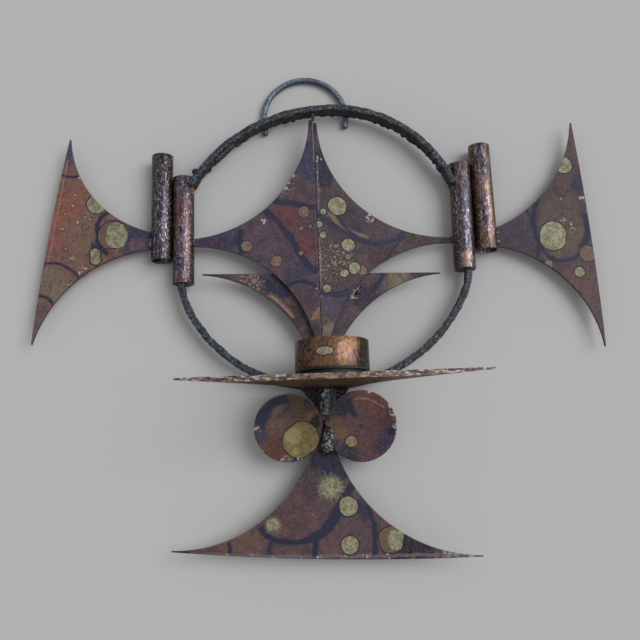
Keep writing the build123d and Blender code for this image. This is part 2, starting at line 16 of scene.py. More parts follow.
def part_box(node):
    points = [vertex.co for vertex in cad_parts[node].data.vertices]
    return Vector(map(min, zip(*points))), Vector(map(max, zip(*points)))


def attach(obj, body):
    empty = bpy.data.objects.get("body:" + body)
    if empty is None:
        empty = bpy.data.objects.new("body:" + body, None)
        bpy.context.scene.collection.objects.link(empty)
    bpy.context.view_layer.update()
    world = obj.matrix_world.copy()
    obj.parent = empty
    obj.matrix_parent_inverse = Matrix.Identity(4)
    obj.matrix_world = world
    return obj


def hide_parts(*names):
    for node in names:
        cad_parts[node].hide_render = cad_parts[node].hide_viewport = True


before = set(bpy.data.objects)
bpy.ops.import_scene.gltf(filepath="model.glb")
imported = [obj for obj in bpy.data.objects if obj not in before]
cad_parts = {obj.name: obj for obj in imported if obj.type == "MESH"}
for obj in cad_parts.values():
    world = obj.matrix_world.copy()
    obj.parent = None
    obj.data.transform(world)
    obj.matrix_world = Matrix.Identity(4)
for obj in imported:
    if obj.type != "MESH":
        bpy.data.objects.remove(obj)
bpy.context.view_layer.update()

print("CAD nodes:", len(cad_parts))

# %% [markdown]
# ## Camera
#
# The sconce is seen from a little below, close by. The lines of its plates, followed on the picture, give
# how far away the eye is and how much it looks up. A camera could be tracked to an empty instead, but
# plain numbers are easier to check against the picture.

# %% Camera
picture_px = 640
focal_px = 766
eye_mm = Vector((16.7, -774.0, -422.6))
look_up = math.radians(11.6)

bpy.ops.object.camera_add(location=eye_mm / 1000, rotation=(math.radians(90) + look_up, 0, 0))
camera = bpy.context.object
camera.data.sensor_width = 36
camera.data.lens = camera.data.sensor_width * focal_px / picture_px
bpy.context.scene.camera = camera
print("lens:", round(camera.data.lens, 1), "mm")

# %% [markdown]
# ### Places in the picture
#
# A mark on a plate is told by its pixel in the picture. Where a line from the eye through that pixel
# meets the plane of the plate, there the mark really is.

# %% Places in the picture


def from_picture(u, v, stand_mm):
    """The x and z, in millimetres, seen at a pixel, on a plane that stands off the wall by stand_mm."""
    right = (u - picture_px / 2) / focal_px
    up = (picture_px / 2 - v) / focal_px
    ahead = -stand_mm - eye_mm.y
    rise = ahead * (math.sin(look_up) + up * math.cos(look_up)) / (math.cos(look_up) - up * math.sin(look_up))
    depth = ahead * math.cos(look_up) + rise * math.sin(look_up)
    return eye_mm.x + right * depth, eye_mm.z + rise


def mm_per_px(stand_mm):
    """How many millimetres one pixel covers on a plane that stands off the wall by stand_mm."""
    return (-stand_mm - eye_mm.y) / math.cos(look_up) / focal_px


print("one pixel covers", round(mm_per_px(0), 2), "mm on the wall")

# %% [markdown]
# ## Colours and nodes
#
# Colours are written as sRGB hex names, while a socket holds linear light, so one function turns them
# over. Another adds a node with its settings and links in one line. The helpers that work out a mask or a
# colour take their node tree from the node that they are given.

# %% Colours and nodes


def linear(colour):
    """An sRGB hex colour as the linear colour that a socket holds."""
    parts = [int(colour[i : i + 2], 16) / 255 for i in (1, 3, 5)]
    return [p / 12.92 if p <= 0.04045 else ((p + 0.055) / 1.055) ** 2.4 for p in parts] + [1.0]


def add(tree, kind, inputs=None, **settings):
    """Adds a node, sets what it is asked to do, and fills its sockets with values or with other nodes."""
    node = tree.nodes.new("ShaderNode" + kind)
    for key, value in settings.items():
        setattr(node, key, value)
    for socket, value in (inputs or {}).items():
        if isinstance(value, bpy.types.Node):
            value = next(o for o in value.outputs if o.enabled)
        if isinstance(value, bpy.types.NodeSocket):
            tree.links.new(value, node.inputs[socket])
        else:
            node.inputs[socket].default_value = value
    return node


def new_material(name):
    """An empty material with its own node tree."""
    material = bpy.data.materials.new(name)
    material.use_nodes = True
    material.node_tree.nodes.clear()
    return material, material.node_tree


background = "#b2b2b2"
print("background:", [round(part, 3) for part in linear(background)[:3]], "in linear light")

# %% [markdown]
# ## Room and lamps
#
# One grey is the wall's colour and what the camera and the metal see beyond it, so only the shadows show.
# The light that falls on things is white. A broad sun stands for a soft window, well to the right of the
# viewer, because the shadows in the picture fall to the left and hardly down.

# %% Room
sun_share = 0.48

world = bpy.data.worlds.new("grey_room")
bpy.context.scene.world = world
world.use_nodes = True
tree = world.node_tree
room = tree.nodes["Background"]
seen = add(tree, "LightPath").outputs
straight = add(tree, "Math", {0: seen["Is Camera Ray"], 1: seen["Is Glossy Ray"]}, operation="MAXIMUM")
straight = add(tree, "Math", {0: straight, 1: seen["Is Transmission Ray"]}, operation="MAXIMUM")
daylight = [1 - sun_share] * 3 + [1.0]
grey = add(tree, "Mix", {0: straight, 6: daylight, 7: linear(background)}, data_type="RGBA")
tree.links.new(grey.outputs[2], room.inputs["Color"])
room.inputs["Strength"].default_value = 1.0
bpy.context.scene.view_settings.view_transform = "Standard"
print("room's share of the light:", round(1 - sun_share, 2))

# %% Sun
sun_from = Vector((0.80, -1.0, 0.26))
sun_spread = math.radians(42)

bpy.ops.object.select_all(action="DESELECT")
bpy.ops.object.light_add(type="SUN", rotation=sun_from.to_track_quat("Z", "Y").to_euler())
sun = bpy.context.object
sun.data.angle = sun_spread
sun.data.energy = sun_share * math.pi / (-sun_from.y / sun_from.length)
print("sun strength:", round(sun.data.energy, 2))

# %% [markdown]
# ### Gleam
#
# A narrow upright panel gives the cup and the pipes their gleam. A brighter sun would bleach the plates,
# and only polished metal sees this panel.

# %% Gleam
panel_from = Vector((1.5, -0.62, -0.05))
panel_to = Vector((0, 0, -0.25))
panel_aim = (panel_from - panel_to).to_track_quat("Z", "Y").to_euler()

bpy.ops.object.light_add(type="AREA", location=panel_from, rotation=panel_aim)
panel = bpy.context.object
panel.data.shape = "RECTANGLE"
panel.data.size = 0.35
panel.data.size_y = 1.6
panel.data.energy = 9
panel.visible_diffuse = False
print("panel:", round(panel.data.size, 2), "by", round(panel.data.size_y, 2), "m")

# %% [markdown]
# ### Wall
#
# The wall is matt paint. It is clear from behind and lets the room's light through to the sconce's back,
# so that side is lit where it is seen.

# %% Wall
wall_side = 8
wall_gap = 0.0006

bpy.ops.mesh.primitive_plane_add(size=wall_side, location=(0, wall_gap, 0), rotation=(math.radians(90), 0, 0))
wall = bpy.context.object
wall.name = "wall"
wall_paint, tree = new_material("wall_paint")
facing_away = add(tree, "NewGeometry").outputs["Backfacing"]
paint = add(tree, "BsdfDiffuse", {"Color": linear(background)})
clear = add(tree, "BsdfTransparent")
mixed = add(tree, "MixShader", {0: facing_away, 1: paint, 2: clear})
add(tree, "OutputMaterial", {"Surface": mixed})
wall.data.materials.append(wall_paint)
wall.visible_diffuse = False
wall.visible_shadow = False
print("wall:", wall_side, "m wide")

# %% [markdown]
# ## Marks on a plate
#
# A torch leaves copper brown where it was cooler and purple, then navy, where it was hotter. Flux that
# dripped on it kept round spots pale, each with a dark rim of scale. An image of such marks would blur
# when the part is seen close. Here a mark is a distance: the nodes work out how far a point is outside the
# nearest drop or vein, and a colour follows from that.

# %% Masks and mixing


def share(value, full, none, most=1.0):
    """The most where a value has reached full, nothing where it has reached none, and smooth between."""
    inputs = {"Value": value, "From Min": full, "From Max": none, "To Min": most, "To Max": 0.0}
    return add(value.id_data, "MapRange", inputs, interpolation_type="SMOOTHSTEP")


def over(under, colour, how_much):
    """One colour laid over another, as much as a mask or a number says. A colour is a hex name or a node."""
    tree = (under if isinstance(how_much, float) else how_much).id_data
    under = linear(under) if isinstance(under, str) else under
    colour = linear(colour) if isinstance(colour, str) else colour
    return add(tree, "Mix", {0: how_much, 6: under, 7: colour}, data_type="RGBA")


def mottled(place, size_mm, detail=4, roughness=0.65):
    """Cloudy noise, mostly from 0.3 to 0.7, whose patches are about size_mm across."""
    settings = {"Vector": place, "Scale": 1 / size_mm, "Detail": detail, "Roughness": roughness}
    return add(place.id_data, "TexNoise", settings).outputs["Fac"]


def both(first, second):
    """Where two masks agree."""
    return add(first.id_data, "Math", {0: first, 1: second}, operation="MULTIPLY")


def astray(distance, patches, reach_mm):
    """A distance made longer in some places and shorter in others, up to reach_mm."""
    tree = distance.id_data
    stray = add(tree, "Math", {0: patches, 1: reach_mm * 2, 2: -reach_mm}, operation="MULTIPLY_ADD")
    return add(tree, "Math", {0: distance, 1: stray}, operation="ADD")


# %% [markdown]
# ### Places on the piece
#
# Object coordinates stay with the piece, and in millimetres they give each pattern its real size. Worked
# out from them alone a mark has a ruled edge, so the place is pushed about, in wide and in short waves.

# %% Places on the piece
wide_wave_mm = 14
short_wave_mm = 3.2


def millimetres(tree):
    """The point on the object, in millimetres."""
    point = add(tree, "TexCoord").outputs["Object"]
    return add(tree, "VectorMath", {0: point, 1: (1000, 1000, 1000)}, operation="MULTIPLY")


def pushed(place, wide_mm, short_mm):
    """The point seen from the front and pushed about a little, so that no mark has a ruled edge."""
    tree = place.id_data
    flat = place
    for wave_mm, push_mm in ((wide_wave_mm, wide_mm), (short_wave_mm, short_mm)):
        waves = add(tree, "TexNoise", {"Vector": place, "Scale": 1 / wave_mm, "Detail": 2}).outputs["Color"]
        centred = add(tree, "VectorMath", {0: waves, 1: (0.5, 0.5, 0.5)}, operation="SUBTRACT")
        shove = add(tree, "VectorMath", {0: centred, "Scale": push_mm * 2}, operation="SCALE")
        flat = add(tree, "VectorMath", {0: flat, 1: shove}, operation="ADD")
    return add(tree, "VectorMath", {0: flat, 1: (1, 0, 1)}, operation="MULTIPLY")


# %% [markdown]
# ### Round marks and veins
#
# A round mark is a centre and a radius. A vein is an arc through three places, as far as its two ends.

# %% Round marks


def outside(place, u, v, r, stand):
    """How far a place is outside a round mark, in millimetres, less than nothing inside it."""
    tree = place.id_data
    x, z = from_picture(u, v, stand)
    away = add(tree, "VectorMath", {0: place, 1: (x, 0, z)}, operation="DISTANCE").outputs["Value"]
    return add(tree, "Math", {0: away, 1: r * mm_per_px(stand)}, operation="SUBTRACT")


def nearer(first, second):
    """The smaller of two distances, where there are two."""
    if first is None:
        return second
    return add(first.id_data, "Math", {0: first, 1: second}, operation="MINIMUM")


def outside_spots(place, spots, stand):
    """How far a place is outside the nearest of several round marks."""
    nearest = None
    for u, v, r in spots:
        nearest = nearer(nearest, outside(place, u, v, r, stand))
    return nearest


# %% Veins
nearly_straight = 1e-3
straight_radius_mm = 5000


def circle_through(a, b, c):
    """Centre and radius of the circle through three points, a very wide one where they lie in line."""
    ab, ac = b - a, c - a
    cross = 2 * (ab.x * ac.y - ab.y * ac.x)
    if abs(cross) < nearly_straight * ac.length_squared:
        aside = Vector((-ac.y, ac.x)).normalized() * straight_radius_mm
        centre = (a + c) / 2 + aside
    else:
        across = Vector((ac.y * ab.length_squared - ab.y * ac.length_squared,
                         ab.x * ac.length_squared - ac.x * ab.length_squared))
        centre = a + across / cross
    return centre, (centre - b).length


def outside_veins(place, veins, stand):
    """How far a place is outside the nearest of several bent veins, each told by three points and a width."""
    tree = place.id_data
    nearest = None
    for start, middle, end, width in veins:
        a, b, c = (Vector(from_picture(*point, stand)) for point in (start, middle, end))
        centre, radius = circle_through(a, b, c)
        away = add(tree, "VectorMath", {0: place, 1: (centre.x, 0, centre.y)}, operation="DISTANCE")
        off = add(tree, "Math", {0: away.outputs["Value"], 1: radius}, operation="SUBTRACT")
        off = add(tree, "Math", {0: off}, operation="ABSOLUTE")
        off = add(tree, "Math", {0: off, 1: width / 2 * mm_per_px(stand)}, operation="SUBTRACT")
        along = add(tree, "VectorMath", {0: place, 1: (b.x, 0, b.y)}, operation="DISTANCE")
        half = max((a - b).length, (c - b).length)
        past = add(tree, "Math", {0: along.outputs["Value"], 1: half}, operation="SUBTRACT")
        vein = add(tree, "Math", {0: off, 1: past}, operation="MAXIMUM")
        nearest = nearer(nearest, vein)
    return nearest


print("radius through a test arc:", circle_through(Vector((0, 0)), Vector((1, 1)), Vector((2, 0)))[1])

# %% [markdown]
# ## Torched copper plate
#
# The plate is copper, 2.5 mm thick and flame-coloured. To the eye that is a half-gloss brown with purple
# in it, mottled at every scale down to the grain of the sheet. Each plate has its own list of marks, and
# they are laid over one another: flame colour first, then lines of scale, then flux, then wear.

# %% Sizes and noises of the plate
cloud_mm = 26
web_mm = 38
blotch_mm = 8
film_mm = 6.5
pit_mm = 4.2
# The grain of rolled copper is under a tenth of a millimetre, too fine to show, so it is drawn this coarse.
sheet_grain_mm = 1.3


class Plate:
    """The places and noises from which every layer of one plate is worked out."""

    def __init__(self, tree, stand):
        self.tree = tree
        self.stand = stand
        self.place = millimetres(tree)
        self.near = pushed(self.place, wide_mm=1.5, short_mm=0.3)
        self.loose = pushed(self.place, wide_mm=5.0, short_mm=1.6)
        self.broad = mottled(self.place, cloud_mm, detail=5, roughness=0.6)
        self.ragged = mottled(self.place, blotch_mm)
        self.hue = mottled(self.place, film_mm, detail=3)
        self.grain = mottled(self.place, sheet_grain_mm, detail=3, roughness=0.7)
        self.pits = mottled(self.place, pit_mm, detail=5, roughness=0.75)


print("patterns from", sheet_grain_mm, "to", web_mm, "mm")

# %% [markdown]
# ### Flame colour
#
# Heat leaves soft clouds, with a thin film over them, here purple and there tan. Gloom is how much darker
# a plate looks as a whole.

# %% Flame colour
purple_film = "#2b2638"
tan_film = "#806054"
dark_film = "#0f0d14"
bright_grain = "#a08d86"
usual_grain = 0.27


def flamed(plate, colour, marks):
    """Clouds of heat, and the films and the bright grain that lie over them."""
    for u, v, r, tint in marks["clouds"]:
        edge = astray(outside(plate.loose, u, v, r, plate.stand), plate.ragged, 6)
        soft = 2 + r / 6
        colour = over(colour, tint, share(edge, -soft, soft))
    colour = over(colour, purple_film, share(plate.hue, 0.68, 0.44, 0.36))
    colour = over(colour, tan_film, share(plate.hue, 0.28, 0.48, 0.2))
    colour = over(colour, dark_film, marks.get("gloom", 0.0))
    bright = share(plate.grain, 0.68, 0.54, marks.get("grain", usual_grain))
    return over(colour, bright_grain, bright)


# %% [markdown]
# ### Scale lines
#
# A faint web of scale crosses every plate. A ribbon is a line of any colour: a scratch, or a painted
# highlight where a turned edge, a seam or a fold catches the light. A vein is navy with a darker edge and a
# soft halo.

# %% Scale lines
vein_edge = "#181a28"
vein_core = "#262b42"
vein_halo = "#2c2e47"
usual_web = 0.4


def lined(plate, colour, marks):
    """The web of scale, the ribbons, some of them painted highlights, and the veins."""
    near, stand = plate.near, plate.stand
    web = {"Vector": plate.loose, "Scale": 1 / web_mm}
    web = add(plate.tree, "TexVoronoi", web, feature="DISTANCE_TO_EDGE")
    thread = astray(web.outputs["Distance"], plate.broad, 0.12)
    colour = over(colour, vein_halo, share(thread, 0.0, 0.035, marks.get("web", usual_web)))
    for start, middle, end, width, tint in marks.get("ribbons", ()):
        ribbon = outside_veins(near, [(start, middle, end, width)], stand)
        ribbon = astray(ribbon, plate.pits, 1.6)
        colour = over(colour, tint, share(ribbon, -0.6, 0.9, 0.75))
    vein = astray(outside_veins(near, marks["veins"], stand), plate.ragged, 1.8)
    colour = over(colour, vein_halo, share(vein, 0.2, 2.8, 0.65))
    colour = over(colour, vein_edge, share(vein, -0.2, 0.8, 0.85))
    return over(colour, marks.get("vein", vein_core), share(vein, -0.9, -0.1, 0.9))


# %% [markdown]
# ### Flux
#
# A drop has a rim of black scale. A disc is a drop that browned again, a tan or a dot is a small one, and
# a fill is pale flux inside a disc, with no rim. A burst is a drop that spat, so its edge is all rays.

# %% Flux
scale_rim = "#15161f"
drop_tones = ("#8f8f76", "#6d6b52", "#7b6450")
disc_tones = ("#6a564a", "#5f4a41", "#564448")
dot_tones = ("#a58b79", "#907464", "#a58b79")
tan_tones = ("#7f675a", "#69544b", "#70574d")
spatter = "#a28c80"
spatter_mm = 2.4


def spattered(plate, colour, marks):
    """Areas sown with specks of flux."""
    for u, v, r in marks.get("specks", ()):
        area = astray(outside(plate.loose, u, v, r, plate.stand), plate.ragged, 5)
        specks = mottled(plate.place, spatter_mm, detail=3, roughness=0.7)
        colour = over(colour, spatter, both(share(area, -5, 4), share(specks, 0.63, 0.52, 0.8)))
    return colour


def dropped(plate, colour, marks):
    """Round marks of every kind, the darker kinds first, and the painted highlight on a large drop."""
    near, stand = plate.near, plate.stand
    pale = marks.get("pale", drop_tones)
    kinds = (("discs", disc_tones, 1.0), ("tans", tan_tones, 0.6), ("dots", dot_tones, 0.4),
             ("drops", pale, 1.0), ("fills", pale, 0.0))
    for kind, tones, rim in kinds:
        if kind not in marks:
            continue
        edge = outside_spots(near, marks[kind], stand)
        if rim:
            colour = over(colour, scale_rim, share(edge, 0.7, 1.5, rim))
        else:
            edge = astray(edge, plate.ragged, 3)
        filling = over(tones[0], tones[1], share(plate.pits, 0.56, 0.44))
        filling = over(filling, tones[2], share(plate.ragged, 0.66, 0.52, 0.7))
        colour = over(colour, filling, share(edge, -0.3, 0.3))
    # Painted highlight on a drop, where a fold turns it to the light.
    for u, v, r, tint in marks.get("painted_highlights", ()):
        edge = astray(outside(near, u, v, r, stand), plate.pits, 3)
        colour = over(colour, tint, share(edge, -3, 2, 0.6))
    return colour


def burst(plate, colour, marks):
    """Drops that spat: noise read by direction alone makes rays."""
    tree, near, stand = plate.tree, plate.near, plate.stand
    for u, v, r in marks.get("bursts", ()):
        x, z = from_picture(u, v, stand)
        arm = add(tree, "VectorMath", {0: near, 1: (x, 0, z)}, operation="SUBTRACT")
        arm = add(tree, "VectorMath", {0: arm}, operation="NORMALIZE")
        rays = mottled(arm, 0.16, detail=2, roughness=0.5)
        edge = astray(outside(near, u, v, r, stand), rays, 9)
        filling = over(drop_tones[0], drop_tones[1], share(plate.pits, 0.56, 0.44))
        colour = over(colour, filling, share(edge, -6, 2, 0.95))
    return colour


# %% [markdown]
# ### Wear, and painted light on the edges
#
# Oxide has flaked off in small patches, mostly near an edge. The Bevel node bends the normal close to an
# edge, and which way tells the edges apart: upper and right-hand ones get a painted highlight, lower ones
# painted shade, and the cut itself is dark with scale and painted shade.

# %% Wear, and painted light on the edges
dark_grain = "#17141c"
bright_pit = "#b0a29b"
bare_flake = "#a9a29a"
flake_mm = 3.0
edge_highlight = "#a3948f"
edge_scale_and_shade = "#1d1a1f"
edge_mm = 1.4


def worn_down(plate, colour, marks):
    """Dark grain, bright pits and flaked patches."""
    colour = over(colour, dark_grain, share(plate.grain, 0.34, 0.46, 0.6))
    colour = over(colour, bright_pit, share(plate.pits, 0.74, 0.68, 0.5))
    for u, v, r in marks["chips"]:
        area = outside(plate.loose, u, v, r, plate.stand)
        flakes = mottled(plate.place, flake_mm, detail=2, roughness=0.5)
        colour = over(colour, bare_flake, both(share(area, -1, 1.5), share(flakes, 0.58, 0.53, 0.9)))
    return colour


def edge_light_and_shade(plate, colour, back):
    """The plain back, painted highlight on upper and right edges, painted shade on lower ones and on the
    scaly cut.
    """
    tree = plate.tree
    normal = add(tree, "TexCoord").outputs["Normal"]
    facing = add(tree, "SeparateXYZ", {0: normal}).outputs["Y"]
    colour = over(colour, back, share(facing, 0.5, 0.2))
    eased = add(tree, "Bevel", {"Radius": edge_mm / 1000}, samples=4)
    bent = add(tree, "VectorMath", {0: eased, 1: normal}, operation="SUBTRACT")
    bent = add(tree, "SeparateXYZ", {0: bent}).outputs
    # Painted highlight on upper and right-hand edges, painted shade on lower ones, and the cut dark with
    # scale and painted shade.
    colour = over(colour, edge_highlight, share(bent["Z"], 0.42, 0.22, 0.35))
    colour = over(colour, edge_highlight, share(bent["X"], 0.42, 0.22, 0.35))
    colour = over(colour, edge_scale_and_shade, share(bent["Z"], -0.34, -0.14, 0.9))
    flatness = add(tree, "Math", {0: facing}, operation="ABSOLUTE")
    return over(colour, edge_scale_and_shade, share(flatness, 0.5, 0.7))


# %% [markdown]
# ### The whole finish
#
# The back has plain browns, because it isn't seen in the picture. Oxide hides most of the metal, so only a
# fifth of the shine is metallic.

# %% The whole finish
back_soot = "#2a2327"


def torched_copper(name, stand, ground, marks):
    """Copper plate, flame-coloured: metal under a thin oxide, so brown to navy and half glossy."""
    material, tree = new_material(name)
    plate = Plate(tree, stand)
    plain = over(ground[0], ground[1], share(plate.broad, 0.60, 0.40))
    back = over(plain, back_soot, share(plate.ragged, 0.62, 0.42, 0.6))
    colour = plain
    for layer in (flamed, lined, spattered, dropped, burst, worn_down):
        colour = layer(plate, colour, marks)
    colour = edge_light_and_shade(plate, colour, back)
    roughness = add(tree, "MapRange", {"Value": plate.broad, "To Min": 0.44, "To Max": 0.62})
    height = add(tree, "Math", {0: plate.grain, 1: plate.pits}, operation="ADD")
    bump = add(tree, "Bump", {"Height": height, "Strength": 0.45, "Distance": 0.0008})
    shader = add(tree, "BsdfPrincipled", {
        "Base Color": colour, "Metallic": 0.2, "Roughness": roughness, "Specular IOR Level": 0.3,
        "Normal": bump})
    add(tree, "OutputMaterial", {"Surface": shader})
    print(name, len(tree.nodes), "nodes")
    return material


def finish_with(material, *names):
    """Gives CAD nodes a material in place of the one they came with."""
    for name in names:
        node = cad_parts[name]
        node.data.materials.clear()
        node.data.materials.append(material)


def finish_plate(name, stand, ground, marks):
    """Gives a plate a torched copper of its own."""
    finish_with(torched_copper("torched_copper_" + name.removesuffix("_half"), stand, ground, marks), name)


# %% [markdown]
# ### Wings
#
# The marks are placed on the picture, in pixels. A spot is a place and a radius, a cloud is a spot
# and a colour, and a vein is three places and a width. Both wings stand the same way off the wall.

# %% Wings
left_wing_marks = {
    "web": 0.1,
    "vein": "#2c2b47",
    "clouds": [
        (58, 215, 34, "#825445"), (54, 236, 14, "#84504a"), (86, 236, 24, "#72594c"),
        (64, 152, 18, "#493d58"), (64, 187, 8, "#70504c"), (50, 284, 19, "#6f5c4f"),
        (58, 292, 9, "#756752"), (38, 325, 16, "#644e51"), (146, 238, 26, "#30324a"),
        (128, 220, 10, "#453b4c"), (99, 247, 9, "#2a2644"), (109, 254, 7, "#6c4946"),
        (136, 244.5, 7, "#594651"),
    ],
    # A painted highlight along the turned outer edge.
    "ribbons": [((66, 168), (57, 215), (46, 272), 0.8, "#9c7464")],
    "veins": [
        ((62, 175), (71, 177), (80, 176), 0.8), ((46, 264), (62, 265), (79, 279), 1),
        ((40, 296), (47, 298), (53, 304), 0.9), ((105, 214.5), (98.5, 222), (98, 236), 2.4),
        ((98, 236), (100, 246), (105, 252), 3.4),
    ],
    "tans": [(85.2, 227.5, 3)],
    "dots": [
        (75.7, 195, 1.6), (72.7, 206, 1.4), (77.5, 222, 1.9), (62, 229, 1.6), (58, 213, 1.1), (65, 214, 1.2),
        (85, 217, 1.3), (90, 219, 1.3), (66, 249, 1.2), (79, 272, 1.4), (71, 258, 1.4), (60, 204, 1),
    ],
    "discs": [(112, 235, 14.6)],
    "drops": [(97, 204, 10.4), (95, 254, 5.4), (95.5, 260, 5.2)],
    "fills": [(117, 232.5, 10.8), (117, 238.5, 10.6)],
    "chips": [
        (74, 258, 2.4), (81, 273, 2.2), (85.5, 266, 2.4), (67, 287, 4), (56, 305, 3), (80, 176, 2.4),
    ],
}
right_wing_marks = {
    "gloom": 0.37,
    "vein": "#1b2036",
    "web": 0.25,
    "grain": 0.15,
    "clouds": [
        (562, 235, 25, "#69574b"), (561, 212, 21, "#62524a"), (556, 184, 14, "#5c4648"),
        (581, 184, 10, "#33324a"), (515, 236, 24, "#453d4c"), (575, 148, 14, "#5f504c"),
        (578, 290, 24, "#684a48"), (598, 330, 12, "#554448"), (572, 262, 10, "#5b4349"),
    ],
    "veins": [
        ((538, 197), (533.5, 219), (541, 245), 4), ((540, 243), (560, 260.5), (584, 244), 2.2),
        ((582, 247), (588, 232), (585, 214), 6), ((526, 210), (534, 226), (538, 257), 1.6),
    ],
    "tans": [(548.5, 264.7, 4.6), (561, 198.5, 2)],
    "discs": [(588, 253.5, 8.5)],
    "drops": [(563, 165, 9), (553, 234, 13.2), (553, 238, 13.2), (580, 272, 5)],
    "chips": [(571.5, 225, 3), (562, 219.5, 2), (577, 230, 2), (583.5, 198, 2.6), (586, 208, 2.2)],
}
wing_stand = 13.9
finish_plate("left_wing", wing_stand, ("#745548", "#604a4b"), left_wing_marks)
finish_plate("right_wing", wing_stand, ("#5f4947", "#50404a"), right_wing_marks)

# %% [markdown]
# ### Star
#
# The two halves were coloured after they were brazed together, so the marks run up to the seam on both.

# %% Star
star_left_marks = {
    "gloom": 0.08,
    "vein": "#2b3248",
    "clouds": [
        (286, 219, 17, "#663f42"), (308, 246, 14, "#643d42"), (306, 160, 22, "#373a56"),
        (298, 184, 10, "#51424b"), (214, 240, 16, "#3b3049"), (236, 238, 7, "#2d3150"),
        (262, 240, 16, "#584654"), (298, 274, 13, "#383950"), (304, 302, 14, "#504045"),
        (316, 316, 4, "#7d5b49"), (309, 330, 8, "#31313f"), (276, 268, 12, "#564750"),
        (311, 124, 6, "#17171b"),
    ],
    "ribbons": [((311, 320), (315.5, 314.5), (319, 309), 3.4, "#8a6c58")],
    "veins": [
        ((274, 201), (295, 204.5), (316, 209), 3.6), ((267, 212), (283.5, 228.5), (297.5, 249), 4),
        ((296, 248.5), (305, 261.5), (316, 272), 4.6), ((286, 288), (302, 282), (317, 290), 1.4),
        ((241, 231), (240, 241), (243, 252), 3.4),
    ],
    "tans": [
        (303.7, 212.5, 6), (246.5, 245.5, 5.5), (276.6, 261.2, 5.7), (301, 253, 2.5), (301, 229, 2.4),
        (310, 227, 2.2),
    ],
    "chips": [(263.7, 221, 3.4), (288, 186, 5), (293, 177, 3), (284, 194, 3), (318, 290, 1.6)],
}
star_right_marks = {
    "gloom": 0.27,
    "vein": "#2a3046",
    "clouds": [
        (334, 262, 22, "#4d3d3d"), (324, 164, 20, "#23263e"), (326, 182, 6, "#20263a"),
        (350, 222, 18, "#40343f"), (384, 256, 17, "#48313a"), (421, 239, 14, "#443734"),
        (448, 239, 9, "#15151c"), (332, 302, 12, "#544a5c"), (346, 300, 10, "#3b3d50"),
        (328, 326, 5.5, "#7d7262"), (328, 332, 5.5, "#7d7262"), (315, 129, 5, "#17171b"),
        (316, 146, 6, "#4b3f4c"),
    ],
    "ribbons": [
        ((330, 214), (346, 229), (368, 238), 4.4, "#7c6550"),
        # A painted highlight along the seam, where the right half's edge catches the light.
        ((317.5, 165), (319.3, 230), (321, 290), 0.5, "#857872"),
    ],
    "veins": [
        ((319, 217.5), (338, 228), (360, 240), 3), ((359, 240), (376, 243.5), (392, 240), 3.4),
        ((390, 241), (398, 237), (403, 232), 3), ((337.5, 215), (348, 230), (370, 241), 1.3),
        ((387, 259), (394, 247), (405, 235), 1.4), ((322, 292), (335, 295), (348, 291), 4.2),
    ],
    "tans": [(362, 270, 5), (348, 257, 3)],
    "specks": [(334, 262, 20)],
    "drops": [
        (337.2, 206.4, 9.6), (348.4, 245.2, 6.6), (354.5, 268.4, 6.2), (344, 273.6, 4.2), (327.2, 289, 4.2),
        (323, 235.4, 3.6), (322.6, 212.5, 3.2), (318.8, 225.4, 3.2),
    ],
    "chips": [(371, 218, 4), (318, 160, 3), (317, 170, 2.4)],
}
star_stand = 21.5
finish_plate("star_left_half", star_stand, ("#56444c", "#4c414c"), star_left_marks)
finish_plate("star_right_half", star_stand, ("#524549", "#503f47"), star_right_marks)

# %% [markdown]
# ### Fins
#
# The rear fin looks out on both sides of the star. The bottom fin has bold navy veins, two drops that
# spat, and a worn lower edge with flakes all along it, on a band that is partly the raw edge and partly
# a painted highlight where the edge turns to the light.

# %% Rear fin
rear_fin_marks = {
    "gloom": 0.2,
    "clouds": [
        (222, 278, 14, "#42363b"), (246, 282, 16, "#50444a"), (277, 287, 12, "#252c40"),
        (290, 318, 14, "#3e3338"), (202, 274, 7, "#1f1e26"), (386, 281, 6, "#5b5050"),
        (399, 279, 11, "#7d6c53"), (422, 275, 9, "#24273a"), (437, 273, 8, "#232433"),
        (368, 300, 14, "#352a38"),
    ],
    "ribbons": [
        ((270, 295), (283, 305), (294, 318), 4.2, "#6e5848"),
        ((273, 298), (283, 306), (293, 317), 1, "#a08468"),
    ],
    "veins": [((263, 277), (271, 287), (288, 295), 3.6), ((382, 275), (378.5, 283), (371, 291), 3)],
    "tans": [(254, 281, 3), (258, 289, 2.5)],
    "specks": [(250, 281, 14)],
    "chips": [(356, 292, 4), (354, 298, 4), (243, 278, 3)],
}
rear_fin_stand = 17.5
finish_plate("rear_fin", rear_fin_stand, ("#57494e", "#4c4049"), rear_fin_marks)

